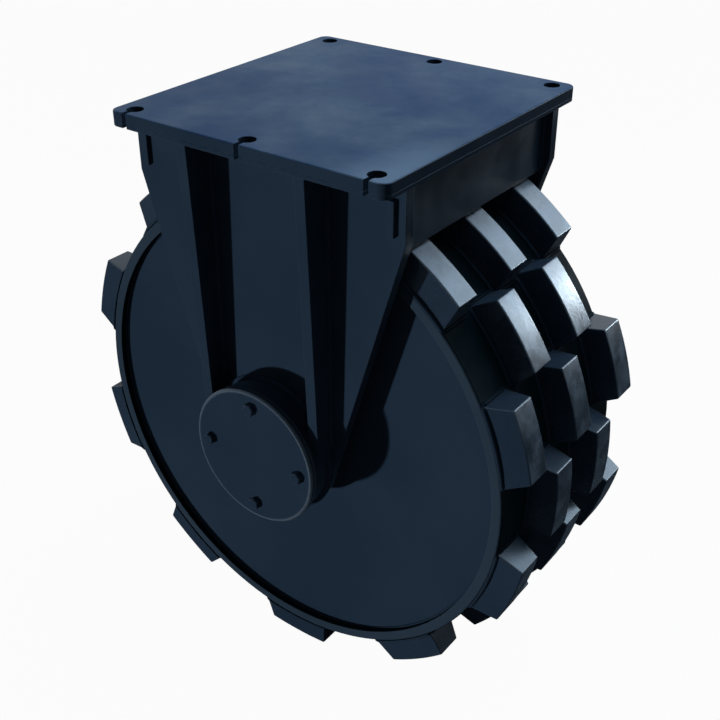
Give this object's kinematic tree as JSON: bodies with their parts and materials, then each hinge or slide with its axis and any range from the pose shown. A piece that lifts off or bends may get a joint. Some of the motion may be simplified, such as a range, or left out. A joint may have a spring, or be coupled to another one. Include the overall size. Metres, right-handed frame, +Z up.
{
  "type": "padfoot compaction wheel",
  "caption": "Bolt-on compaction wheel: a forked bracket under a flat mounting plate carries a wide steel drum with staggered pads on tapered roller bearings.",
  "frame": {"origin": "centre of the mounting plate's upper face", "axes": "+Z up out of the mounting face, +Y along the wheel's axle towards the rear side, +X to the right seen from the front (-Y) side"},
  "size_m": [1.15, 0.688, 1.239],
  "materials": {
    "dark_paint": "semi-gloss blue-black paint",
    "bearing_steel": "ground steel",
    "cage_brass": "machined",
    "seal_rubber": "matt",
    "gasket_sheet": "matt"
  },
  "bodies": {
    "bracket": {"mounting_plate": "dark_paint", "cap_plate": "dark_paint", "front_side_plate": "dark_paint", "rear_side_plate": "dark_paint", "left_end_panel": "dark_paint", "right_end_panel": "dark_paint", "front_left_rib": "dark_paint", "front_right_rib": "dark_paint", "rear_left_rib": "dark_paint", "rear_right_rib": "dark_paint", "front_bearing_housing": "dark_paint", "front_hub_cover": "dark_paint", "front_cover_gasket": "gasket_sheet", "front_cover_bolts": "dark_paint", "front_outer_race": "bearing_steel", "front_shaft_seal": "seal_rubber", "rear_bearing_housing": "dark_paint", "rear_hub_cover": "dark_paint", "rear_cover_gasket": "gasket_sheet", "rear_cover_bolts": "dark_paint", "rear_outer_race": "bearing_steel", "rear_shaft_seal": "seal_rubber"},
    "wheel": {"drum_shell": "dark_paint", "front_drum_disc": "dark_paint", "rear_drum_disc": "dark_paint", "hub_tube": "dark_paint", "axle": "bearing_steel", "front_inner_race": "bearing_steel", "front_seal_sleeve": "bearing_steel", "front_lock_washer": "bearing_steel", "front_locknut": "bearing_steel", "rear_inner_race": "bearing_steel", "rear_seal_sleeve": "bearing_steel", "rear_lock_washer": "bearing_steel", "rear_locknut": "bearing_steel", "pad_row_01": "dark_paint", "pad_row_02": "dark_paint", "pad_row_03": "dark_paint", "pad_row_04": "dark_paint", "pad_row_05": "dark_paint", "pad_row_06": "dark_paint", "pad_row_07": "dark_paint", "pad_row_08": "dark_paint", "pad_row_09": "dark_paint", "pad_row_10": "dark_paint", "pad_row_11": "dark_paint", "pad_row_12": "dark_paint", "pad_row_13": "dark_paint", "pad_row_14": "dark_paint", "pad_row_15": "dark_paint", "pad_row_16": "dark_paint", "pad_row_17": "dark_paint", "pad_row_18": "dark_paint", "pad_row_19": "dark_paint", "pad_row_20": "dark_paint"},
    "front_roller_set": {"front_rollers": "bearing_steel", "front_roller_cage": "cage_brass"},
    "rear_roller_set": {"rear_rollers": "bearing_steel", "rear_roller_cage": "cage_brass"}
  },
  "joints": [
    {"name": "wheel_spin", "type": "hinge", "parent": "bracket", "child": "wheel", "pos_m": [0, 0, -0.664], "axis": [0, 1, 0], "continuous": true},
    {"name": "front_rollers_orbit", "type": "hinge", "parent": "bracket", "child": "front_roller_set", "pos_m": [0, 0, -0.664], "axis": [0, 1, 0], "continuous": true},
    {"name": "rear_rollers_orbit", "type": "hinge", "parent": "bracket", "child": "rear_roller_set", "pos_m": [0, 0, -0.664], "axis": [0, 1, 0], "continuous": true}
  ],
  "couplings": [
    {"joint": "front_rollers_orbit", "follows": "wheel_spin", "ratio": 0.4257},
    {"joint": "rear_rollers_orbit", "follows": "wheel_spin", "ratio": 0.4257}
  ]
}
